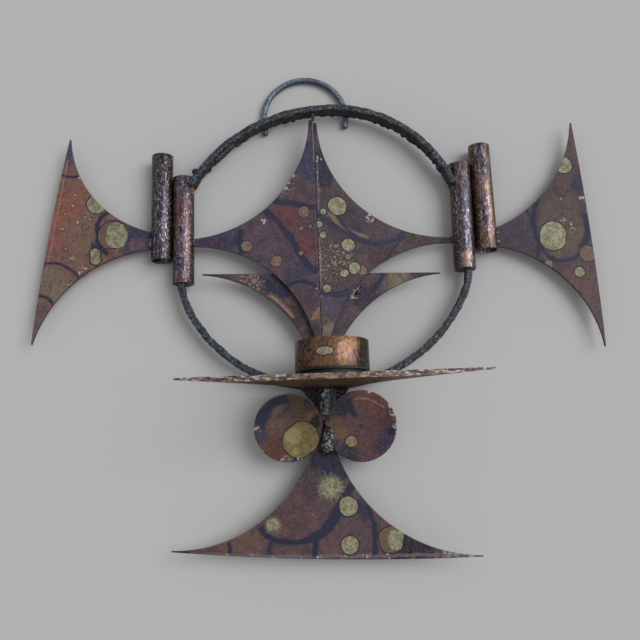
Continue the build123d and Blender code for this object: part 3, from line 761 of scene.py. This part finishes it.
# %% Bottom fin
hem_flakes = [(u, 557, 2.4) for u in range(228, 436, 23)]
bottom_fin_marks = {
    "gloom": 0.14,
    "grain": 0.2,
    "clouds": [
        (290, 518, 30, "#5a4042"), (240, 548, 24, "#674b45"), (330, 462, 20, "#181722"),
        (312, 484, 14, "#44383f"), (372, 540, 20, "#544045"), (410, 546, 22, "#171524"),
        (462, 556, 12, "#6c6566"), (446, 556, 4, "#7d6857"), (330, 545, 12, "#5d4640"),
        (366, 508, 11, "#2f2d44"), (180, 553, 8, "#26242c"), (348, 530, 14, "#594346"),
    ],
    # The band along the turned lower edge: partly raw edge, partly painted highlight.
    "ribbons": [((200, 556), (315, 556), (440, 556), 2.6, "#695d60")],
    "veins": [
        ((353, 485), (344, 498), (339, 510), 6.6), ((340, 508), (334, 519), (326, 529), 8.6),
        ((328, 527), (320, 534), (311, 538), 7), ((313, 537.5), (299, 542), (283, 541.5), 4.4),
        ((284, 542), (271.5, 538), (261, 528), 4), ((315.4, 538), (315.6, 547), (315.2, 556), 3.8),
        ((366, 507), (373, 520), (375.4, 534), 3.2), ((375.4, 533), (375.3, 544), (374.3, 555), 3.2),
        ((319, 460.7), (329, 471), (346, 475), 4.2), ((229, 543), (230, 548), (230.5, 552), 2.2),
        ((271, 541), (270, 547), (269, 553), 1.6),
    ],
    "vein": "#20253c",
    "specks": [(314.2, 513, 4)],
    "discs": [(390, 538, 10.2), (391, 542, 10.2)],
    "drops": [(348.6, 506.3, 9), (349.8, 545, 8.4)],
    "fills": [(396.5, 537.5, 7.4), (396, 543, 6.4), (272.5, 524.5, 5.8)],
    "bursts": [(331, 487, 12.6), (273.5, 525.2, 7.4)],
    "chips": [(470, 556, 5), (458, 555, 3.4), (448, 553, 3)] + hem_flakes,
}
bottom_fin_stand = 21.3
finish_plate("bottom_fin", bottom_fin_stand, ("#5a4543", "#4d3e42"), bottom_fin_marks)

# %% [markdown]
# ### Discs
#
# The two discs are the same copper, browner. The left one has one large olive drop with a painted highlight
# at its upper left, where the disc is folded, and the right one has a run of gold beside the bead of filler
# and a painted highlight along a fold.

# %% Discs
left_disc_marks = {
    "clouds": [
        (263, 414, 9, "#2b2638"), (278, 447, 14, "#502a1a"), (296, 408, 14, "#4a3a26"),
        (318, 420, 7, "#191513"), (314, 406, 7, "#3f2c22"), (259, 436, 8, "#2c2b40"),
        (276, 428, 8, "#5e4a38"), (300, 463, 7, "#363444"), (310, 396, 8, "#26282c"),
        (322, 412, 4, "#1b1819"),
    ],
    "vein": "#20243a",
    "veins": [((285, 399), (268, 408), (260, 428), 7), ((296, 461), (304, 459), (312, 452), 5)],
    "pale": ("#7b7247", "#625a39", "#6f5c3e"),
    "drops": [(299, 441, 15.6), (303, 438, 15.4)],
    # Painted highlights where the folded drop faces the light.
    "painted_highlights": [(293, 436, 8, "#9a925f"), (295, 452, 4, "#938a4e")],
    "chips": [(257, 430, 4), (262, 451, 3), (286, 460, 4), (300, 462, 4)],
}
right_disc_marks = {
    "gloom": 0.12,
    "vein": "#1d2136",
    "veins": [((349, 399), (350, 408), (355, 416), 4), ((389, 430), (394, 433), (398, 430), 6)],
    "clouds": [
        (368, 405, 16, "#64403a"), (343, 408, 9, "#0b0e18"), (335, 423, 7, "#59401f"),
        (343, 433, 6, "#654a2a"), (328, 416, 5, "#151211"), (346, 457, 12, "#161625"),
        (388, 442, 13, "#382c48"), (366, 428, 16, "#573a3c"), (331, 412, 5, "#1b1819"),
        (340, 396, 7, "#26282c"), (334, 444, 4, "#1b1819"),
    ],
    # A painted highlight along a fold.
    "ribbons": [((354, 399), (370, 400), (384, 408), 1, "#937468")],
    "pale": ("#8b7a58", "#736148", "#7b6746"),
    "drops": [(351.6, 441.3, 5.2)],
    "chips": [(390, 404, 4), (394, 414, 4), (396, 424, 4.5), (394, 434, 3), (371, 391, 3)],
}
disc_stand = 24.5
finish_plate("left_lobe", disc_stand, ("#65513a", "#5c4238"), left_disc_marks)
finish_plate("right_lobe", disc_stand, ("#593a37", "#4b3439"), right_disc_marks)

# %% [markdown]
# ## Pipe and cup
#
# Plumber's copper pipe was torched until it crackled: streaks of purple and blue run down it, broken by
# bright worn specks. Each pipe has its own tints, orange near the weld at the top of the left inner one and
# scoured near the foot of the right inner one. The cup is the same copper, browner and smoother, and a row
# of small drops on its front ran together into one.

# %% Torched pipe
streak_mm = 5
thread_mm = 2.2
blush_mm = 16
pit_black = "#0e0c12"
cup_drop_tones = ("#a8a288", "#8a8266")
front_depth_mm = 12


# Painted shade: both sides of a round piece are darkened, for the dark reflection polished metal shows there.
def shade_flanks(tree, colour, flank_shade, streaks):
    """Painted shade down a round piece's two sides, for the dark reflection its metal shows there."""
    normal = add(tree, "SeparateXYZ", {0: add(tree, "TexCoord").outputs["Normal"]}).outputs
    side = add(tree, "Math", {0: normal["X"]}, operation="ABSOLUTE")
    side = add(tree, "Math", {0: side, 1: add(tree, "Math", {0: streaks, 1: 0.6}, operation="MULTIPLY")})
    return over(colour, flank_shade, share(side, 1.08, 0.72, 0.92))


def front_drops(tree, colour, place, drops, specks, stand):
    """Drops of flux that lie on the front of a round piece only."""
    edge = outside_spots(pushed(place, wide_mm=0.5, short_mm=0.15), drops, stand)
    deep = add(tree, "SeparateXYZ", {0: place}).outputs["Y"]
    behind = add(tree, "Math", {0: deep, 1: stand - front_depth_mm})
    edge = add(tree, "Math", {0: edge, 1: behind}, operation="MAXIMUM")
    colour = over(colour, scale_rim, share(edge, 0.4, 1.3))
    filling = over(cup_drop_tones[0], cup_drop_tones[1], share(specks, 0.55, 0.45))
    return over(colour, filling, share(edge, -0.3, 0.3))


def torched_pipe(name, tones, flank_shade, worn, speck_mm, run, gloss, stand, clouds=(), drops=(), pitted=0.75):
    """Copper pipe, flame-coloured over its polish: shiny metal, streaked along, with painted shade down its
    flanks.
    """
    material, tree = new_material(name)
    place = millimetres(tree)
    drawn = add(tree, "VectorMath", {0: place, 1: (1, 1, run)}, operation="MULTIPLY")
    streaks = mottled(drawn, streak_mm, detail=4, roughness=0.6)
    threads = mottled(drawn, thread_mm, detail=3, roughness=0.7)
    blush = mottled(place, blush_mm)
    stretched = add(tree, "VectorMath", {0: place, 1: (1, 1, 0.6)}, operation="MULTIPLY")
    specks = mottled(stretched, speck_mm, detail=4, roughness=0.8)
    colour = over(tones[0], tones[1], share(streaks, 0.55, 0.47))
    colour = over(colour, tones[2], share(blush, 0.60, 0.50, 0.8))
    colour = over(colour, tones[3], share(threads, 0.62, 0.54, 0.6))
    colour = shade_flanks(tree, colour, flank_shade, streaks)
    for u, v, r, tint in clouds:
        near = pushed(place, wide_mm=1.5, short_mm=0.8)
        edge = astray(outside(near, u, v, r, stand), threads, 4)
        colour = over(colour, tint, share(edge, -2, 2.5, 0.85))
    colour = over(colour, worn, share(specks, 0.62, 0.555, 0.8))
    colour = over(colour, pit_black, share(specks, 0.38, 0.46, pitted))
    colour = over(colour, pit_black, share(threads, 0.36, 0.44, 0.5))
    if drops:
        colour = front_drops(tree, colour, place, drops, specks, stand)
    bump = add(tree, "Bump", {"Height": specks, "Strength": 0.5, "Distance": 0.0005})
    roughness = add(tree, "MapRange", {"Value": threads, "To Min": gloss - 0.08, "To Max": gloss + 0.16})
    shader = add(tree, "BsdfPrincipled", {
        "Base Color": colour, "Metallic": 0.7, "Roughness": roughness, "Normal": bump})
    add(tree, "OutputMaterial", {"Surface": shader})
    print(name, len(tree.nodes), "nodes")
    return material


# %% Pipes
pipe_stand = 30
pipe_speck_mm = 1.9
pipe_gloss = 0.32
heated = [(191, 182, 3.2, "#94602f"), (193, 187, 2.6, "#a87238")]
scoured = [(468, 254, 4.5, "#a5877a"), (468, 262, 4, "#a08578")]
# Each pipe: name, tones, painted shade for its flanks, worn specks, how far streaks run, and clouds.
for name, tones, flank_shade, worn, run, clouds in (
    ("left_outer", ("#443f4a", "#272d4a", "#483a38", "#706c79"), "#2b2320", "#bdb4b2", 0.14, ()),
    ("left_inner", ("#5f4b51", "#373c56", "#6d454a", "#857b82"), "#413324", "#c2b4b2", 0.22, heated),
    ("right_inner", ("#594e56", "#333c58", "#5c463c", "#8a8794"), "#40311f", "#bdb6b8", 0.2, scoured),
    ("right_outer", ("#705d54", "#333b58", "#70503c", "#948789"), "#513821", "#c0b4b0", 0.14, ()),
):
    pipe_copper = torched_pipe(
        "torched_copper_pipe_" + name, tones, flank_shade, worn, pipe_speck_mm, run, pipe_gloss, pipe_stand, clouds)
    finish_with(pipe_copper, name + "_tube")

# %% Cup
cup_tones = ("#78583c", "#66472f", "#70524e", "#866848")
# Painted shade down the cup's two sides.
cup_flank_shade = "#1e110a"
cup_worn = "#9c8072"
cup_glows = [(372, 352, 4, "#6b431c"), (302, 352, 5, "#5a3519")]
cup_drops = [
    (319.4, 350.3, 3.2), (321.4, 350.3, 3.8), (323.4, 350.3, 4.1), (325.4, 350.3, 4.1),
    (327.4, 350.3, 3.8), (329.4, 350.3, 3.2),
]
cup_front = 96.5
cup_copper = torched_pipe(
    "polished_copper_cup", cup_tones, cup_flank_shade, cup_worn, speck_mm=2.2, run=0.8, gloss=0.26,
    stand=cup_front, clouds=cup_glows, drops=cup_drops, pitted=0.4)
finish_with(cup_copper, "candle_cup")

# %% [markdown]
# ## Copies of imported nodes
#
# Where a piece needs another shape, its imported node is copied, and the copy is shaped and stands for the
# node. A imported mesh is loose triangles, so a copy is merged first.

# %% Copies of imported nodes
merge_m = 0.00001


def copy_of(name):
    """A copy of a CAD node, with its loose triangles joined, left selected and active."""
    bpy.ops.object.select_all(action="DESELECT")
    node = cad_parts[name]
    node.select_set(True)
    bpy.context.view_layer.objects.active = node
    bpy.ops.object.duplicate()
    copy = bpy.context.object
    bpy.ops.object.mode_set(mode="EDIT")
    bpy.ops.mesh.select_all(action="SELECT")
    bpy.ops.mesh.remove_doubles(threshold=merge_m)
    bpy.ops.object.mode_set(mode="OBJECT")
    return copy


def stands_for(piece, name):
    """Lets a finished piece take the place of a CAD node."""
    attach(piece, "root")
    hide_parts(name)


def dress(piece, material):
    """Gives a new piece one material."""
    piece.data.materials.clear()
    piece.data.materials.append(material)


# %% [markdown]
# ## Pan
#
# The pan's long front edge was turned up. It runs out to nothing at both tips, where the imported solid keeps
# its full height, so the pan is cut across every few millimetres and lifted towards the tips. A lattice
# could lift it too, but a formula keeps the edge's top where it was.

# %% Pan
pan_tilt = math.radians(2)
pan_middle_mm = 27.7
pan_foot_mm = -337.45
lip_height_mm = 5.2
lip_back_mm = -102.4
tip_lift_mm = 3.2
lift_from_mm = 55
lift_to_mm = 138
cut_step_mm = 3
hammer_mm = 4
hammer_depth_mm = 0.55


def lifted(point):
    """The new height of a point of the pan, in millimetres: the plate rises towards the tips."""
    along = point.x - pan_middle_mm
    foot = pan_foot_mm + along * math.tan(pan_tilt)
    bend = min(max((abs(along) - lift_from_mm) / (lift_to_mm - lift_from_mm), 0), 1)
    rise = point.z - foot
    lift = tip_lift_mm * bend * bend * (1 - rise / lip_height_mm)
    on_lip = point.y < lip_back_mm + 0.5
    ragged = noise.noise(point / hammer_mm) * hammer_depth_mm if on_lip else 0
    rise = min(rise + lift + ragged, lip_height_mm)
    return foot + max(rise, 0)


pan = copy_of("drip_pan")
pan.name = "drip_pan_dressed"
pan_low, pan_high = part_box("drip_pan")
bpy.ops.object.mode_set(mode="EDIT")
for step in range(int((pan_high[0] - pan_low[0]) * 1000 / cut_step_mm)):
    bpy.ops.mesh.select_all(action="SELECT")
    across = pan_low[0] + (step + 0.5) * cut_step_mm / 1000
    bpy.ops.mesh.bisect(plane_co=(across, 0, 0), plane_no=(1, 0, 0))
bpy.ops.mesh.select_all(action="SELECT")
bpy.ops.mesh.bisect(plane_co=(0, lip_back_mm / 1000, 0), plane_no=(0, 1, 0))
bpy.ops.object.mode_set(mode="OBJECT")
for vertex in pan.data.vertices:
    vertex.co.z = lifted(vertex.co * 1000) / 1000
stands_for(pan, "drip_pan")
print("pan:", len(pan.data.polygons), "faces")

# %% [markdown]
# ### Tin, and a darker back
#
# The turned edge is silver, tan and brown in flakes, with less tin in its middle. The plate under it is
# bare brown copper in front and near black further back, towards the wall.

# %% Tin, and a darker back
pan_tones = ("#5c4130", "#402d21", "#6d4f36")
pan_back_dark = "#171412"
lip_tones = ("#4d3a38", "#75604e")
tin = "#b4b3b2"
lip_black = "#1f1a19"
pan_cloud_mm = 20
pan_blotch_mm = 8
lip_blotch_mm = 12
tin_flake_mm = 2.2
pan_grain_mm = 1.8


def tinned_lip(tree, place, broad):
    """The flakes of the turned edge: tin over tan and brown, less of it in the pan's middle."""
    drawn = add(tree, "VectorMath", {0: place, 1: (0.45, 1, 1)}, operation="MULTIPLY")
    flakes = mottled(drawn, tin_flake_mm, detail=4, roughness=0.7)
    lip = over(lip_tones[0], lip_tones[1], share(mottled(place, lip_blotch_mm), 0.56, 0.46))
    across = add(tree, "SeparateXYZ", {0: place}).outputs["X"]
    along = add(tree, "Math", {0: across, 1: pan_middle_mm}, operation="SUBTRACT")
    along = add(tree, "Math", {0: along}, operation="ABSOLUTE")
    bare = share(astray(along, broad, 25), 20, 60, 0.55)
    tinned = add(tree, "Math", {0: share(flakes, 0.60, 0.51, 0.95), 1: bare}, operation="SUBTRACT")
    lip = over(lip, tin, add(tree, "Math", {0: tinned, 1: 0.0}, operation="MAXIMUM"))
    return over(lip, lip_black, share(flakes, 0.36, 0.45, 0.95))


def tinned_copper(name):
    """Copper plate, near black towards the wall, its turned front edge tinned: silver and tan flakes over
    brown.
    """
    material, tree = new_material(name)
    place = millimetres(tree)
    broad = mottled(place, pan_cloud_mm)
    colour = over(pan_tones[0], pan_tones[1], share(broad, 0.58, 0.42))
    blotches = mottled(place, pan_blotch_mm)
    colour = over(colour, pan_tones[2], share(blotches, 0.64, 0.52, 0.8))
    deep = add(tree, "SeparateXYZ", {0: place}).outputs["Y"]
    colour = over(colour, pan_back_dark, share(astray(deep, broad, 14), -38, -62, 0.9))
    lip = tinned_lip(tree, place, broad)
    colour = over(colour, lip, share(deep, lip_back_mm - 0.2, lip_back_mm + 0.4))
    grain = mottled(place, pan_grain_mm)
    bump = add(tree, "Bump", {"Height": grain, "Strength": 0.5, "Distance": 0.0008})
    shader = add(tree, "BsdfPrincipled", {
        "Base Color": colour, "Metallic": 0.35, "Roughness": 0.5, "Normal": bump})
    add(tree, "OutputMaterial", {"Surface": shader})
    print(name, len(tree.nodes), "nodes")
    return material


dress(pan, tinned_copper("tinned_copper_pan"))

# %% [markdown]
# ## Blackened bar and filler
#
# The ring is steel bar that was run over with the torch until its skin blistered, and the filler at the
# joints set in lumps. A bump in the material alone would leave their outlines ruled, so each such piece
# is copied, its skin is rebuilt as an even net and pushed in and out, in lumps and again in finer ones.

# %% Rough skins


def rough_copy(name, slot, net_mm, lump_mm, push_mm, centre=0.5, reshape=None):
    """A copy of a CAD node with an uneven skin, standing for that node, its points moved first if asked."""
    copy = copy_of(name)
    copy.name = name + "_rough"
    net = copy.modifiers.new("net", "REMESH")
    net.mode = "VOXEL"
    net.voxel_size = net_mm / 1000
    bpy.ops.object.modifier_apply(modifier="net")
    if reshape:
        moved = [reshape(vertex.co, vertex.normal) for vertex in copy.data.vertices]
        for vertex, place in zip(copy.data.vertices, moved):
            vertex.co = place
    for size_mm, depth_mm in ((lump_mm, push_mm), (lump_mm / 3, push_mm / 2.5)):
        lumps = bpy.data.textures.new(f"{name}_lumps", "CLOUDS")
        lumps.noise_scale = size_mm / 1000
        lumps.noise_depth = 2
        skin = copy.modifiers.new("skin", "DISPLACE")
        skin.texture = lumps
        skin.texture_coords = "LOCAL"
        skin.strength = depth_mm * 2 / 1000
        skin.mid_level = centre
        bpy.ops.object.modifier_apply(modifier="skin")
    bpy.ops.object.shade_smooth()
    stands_for(copy, name)
    print(copy.name, len(copy.data.polygons), "faces")
    return copy


# %% [markdown]
# ### Metals with a rough skin
#
# Scale sits in the hollows of such a skin and is rubbed off its high places, and what looks down is darker,
# with soot and painted shade.

# %% Metals with a rough skin
hollow_black = "#101014"
burnt_filler = "#151516"
tone_patch_mm = 11


def rough_metal(name, tones, underside_soot_and_shade, metallic, roughness, blister_mm, relief_mm, bright_mm=None):
    """Blistered metal: soot and painted shade where it looks down, bright only near the upright line at
    bright_mm.
    """
    material, tree = new_material(name)
    place = millimetres(tree)
    skin = mottled(place, blister_mm, detail=5)
    tone_patches = mottled(place, tone_patch_mm, detail=3)
    colour = over(tones[0], tones[1], share(tone_patches, 0.58, 0.44))
    colour = over(colour, tones[2], share(skin, 0.66, 0.50))
    down = add(tree, "SeparateXYZ", {0: add(tree, "TexCoord").outputs["Normal"]}).outputs["Z"]
    # Faces that look down are darkened: soot, and painted shade.
    colour = over(colour, underside_soot_and_shade, share(down, -0.75, -0.1, 0.85))
    colour = over(colour, hollow_black, share(skin, 0.34, 0.47, 0.85))
    if bright_mm:
        across = add(tree, "SeparateXYZ", {0: place}).outputs["X"]
        aside = add(tree, "Math", {0: across, 1: bright_mm}, operation="SUBTRACT")
        aside = astray(add(tree, "Math", {0: aside}, operation="ABSOLUTE"), skin, 3)
        colour = over(colour, burnt_filler, share(aside, 6.5, 2.5, 0.85))
    bump = add(tree, "Bump", {"Height": skin, "Strength": 0.9, "Distance": relief_mm / 1000})
    shader = add(tree, "BsdfPrincipled", {
        "Base Color": colour, "Metallic": metallic, "Roughness": roughness, "Normal": bump})
    add(tree, "OutputMaterial", {"Surface": shader})
    return material


# The colour after the three tones is for what looks down: soot, and painted shade.
# The four numbers are how metallic and how rough it is, and the width and depth of a blister in mm.
# Flat steel bar, black with mill scale: half dull, blue-grey where its high places are rubbed.
steel = rough_metal("blackened_steel", ("#262e38", "#181c23", "#58646f"), "#191716", 0.3, 0.5, 2.4, 1.2)
# Round steel wire, less burnt than the bar: an even blue-grey.
wire = rough_metal("blackened_wire", ("#5f6a79", "#4e5866", "#7d8895"), "#343a44", 0.3, 0.5, 3.0, 0.6)
# Arc weld, browned in its hollows: dark lumps that glint.
arc_weld = rough_metal("arc_weld_steel", ("#33363d", "#35302e", "#6a7078"), "#262220", 0.5, 0.42, 2.0, 1.4)
# Silver filler in thick beads: bright grey metal with black flux left in its hollows.
braze = rough_metal("silver_braze", ("#47474d", "#29282d", "#97979b"), "#242223", 0.75, 0.32, 3.4, 1.8)
# The same filler where it ran out thin: bright along its middle and burnt black to both sides.
run_braze = rough_metal(
    "run_out_braze", ("#4a4a4f", "#29282d", "#97979b"), "#242223", 0.7, 0.32, 3.4, 1.8, bright_mm=21.0)
# Soot, and painted shade for the dark gap at the cup's foot: near black and dull, with no metal to be seen.
soot_and_shade = rough_metal("soot_and_painted_shade", ("#0d0b0e", "#09080a", "#1c1719"), "#070607", 0.0, 0.6, 2.6, 0.8)
print("rough metals:", ", ".join(metal.name for metal in (steel, wire, arc_weld, braze, run_braze, soot_and_shade)))

# %% [markdown]
# ### Ring and loop
#
# Beads of slag hang on the upper bar's inner edge, and the lower bar is only lumpy. The loop is wire,
# nearly smooth, and its skin is only pushed in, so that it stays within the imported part's height.

# %% Ring and loop
ring_middle = Vector((0.021, 0, -0.165))
burr_mm = 2.8
burr_bead_mm = 5
burr_cover = 0.1


def burred(place, normal):
    """A torch-cut edge: slag hangs in beads on the side that faces the middle of the ring."""
    inward = Vector((ring_middle.x - place.x, 0, ring_middle.z - place.z)).normalized()
    bead = max(noise.noise(place * 1000 / burr_bead_mm) + burr_cover, 0) * burr_mm / 1000
    return place + inward * max(normal.dot(inward), 0) * bead


for name in ("ring_upper_bar", "ring_splice_bar"):
    dress(rough_copy(name, "black_steel", net_mm=0.9, lump_mm=8, push_mm=0.8, reshape=burred), steel)
dress(rough_copy("ring_lower_bar", "black_steel", net_mm=0.9, lump_mm=7, push_mm=1.3), steel)
dress(rough_copy("hanger_loop", "black_steel", net_mm=0.8, lump_mm=5, push_mm=0.25, centre=1.0), wire)

# %% [markdown]
# ### Lumps of weld
#
# The lumps at the loop and at the pipes are as black as the bar. The others still look like weld.

# %% Lumps of weld
for name, lump_metal in (
    ("hanger_weld_left", steel), ("hanger_weld_right", steel), ("ring_splice_weld", arc_weld),
    ("ring_weld_left", steel), ("ring_weld_right", steel), ("star_top_weld", arc_weld),
    ("fin_tab_left", arc_weld), ("fin_tab_right", arc_weld),
):
    dress(rough_copy(name, "dark_weld", net_mm=0.5, lump_mm=4, push_mm=0.6), lump_metal)

# %% [markdown]
# ### Beads of filler
#
# Two thick beads hold the discs, and the upper one ran out along them under the pan.

# %% Beads of filler
bead_low, bead_high = (Vector(corner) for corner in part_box("upper_bead"))
spread = 2.7
thinned = 0.6


def run_out(place, normal):
    """Filler that ran out, so that it is wide and thin at its top. The normal isn't needed here."""
    up = (place.z - bead_low.z) / (bead_high.z - bead_low.z)
    middle = (bead_low.x + bead_high.x) / 2
    aside = (place.x - middle) * (1 + spread * up)
    flat = 1 - thinned * min(abs(aside) / (bead_high.x - bead_low.x), 1)
    return Vector((middle + aside, bead_high.y + (place.y - bead_high.y) * flat, place.z))


bead_skin = {"slot": "solder", "net_mm": 0.5, "lump_mm": 6, "push_mm": 2.0}
dress(rough_copy("upper_bead", reshape=run_out, **bead_skin), run_braze)
dress(rough_copy("lower_bead", **bead_skin), braze)

# %% [markdown]
# ### Pieces that keep their shape
#
# The smaller lumps sit deep between other pieces and need only the material. The cup's spacer and floor
# are near black: soot, and painted shade for the dark gap at the cup's foot.

# %% Pieces that keep their shape
sooty_and_shaded = ("cup_foot", "cup_floor")
welded = ("bore_weld_left", "bore_weld_right", "rear_fin_foot_weld")
brazed = (
    "tube_braze_left", "tube_braze_right", "wing_braze_left", "wing_braze_right", "star_left_braze",
    "star_right_braze", "star_seam_braze", "star_foot_braze", "pan_neck_weld",
)
finish_with(soot_and_shade, *sooty_and_shaded)
finish_with(arc_weld, *welded)
finish_with(braze, *brazed)
print("dressed as packed:", len(sooty_and_shaded + welded + brazed), "pieces")

# %% [markdown]
# ## Edges
#
# No cut edge is perfectly sharp. A narrow bevel catches a thread of light along each plate and round each
# pipe's end. It stays a modifier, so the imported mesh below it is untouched.

# %% Edges
bevel_mm = 0.3
for name in (
    "left_wing", "right_wing", "star_left_half", "star_right_half", "rear_fin", "bottom_fin", "left_lobe",
    "right_lobe", "left_inner_tube", "left_outer_tube", "right_inner_tube", "right_outer_tube", "candle_cup",
):
    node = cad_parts[name]
    joined = node.modifiers.new("joined", "WELD")
    joined.merge_threshold = merge_m
    eased = node.modifiers.new("eased", "BEVEL")
    eased.width = bevel_mm / 1000
    eased.segments = 2
    eased.limit_method = "ANGLE"
    eased.angle_limit = math.radians(50)
    eased.harden_normals = True
print("bevelled edges:", bevel_mm, "mm")
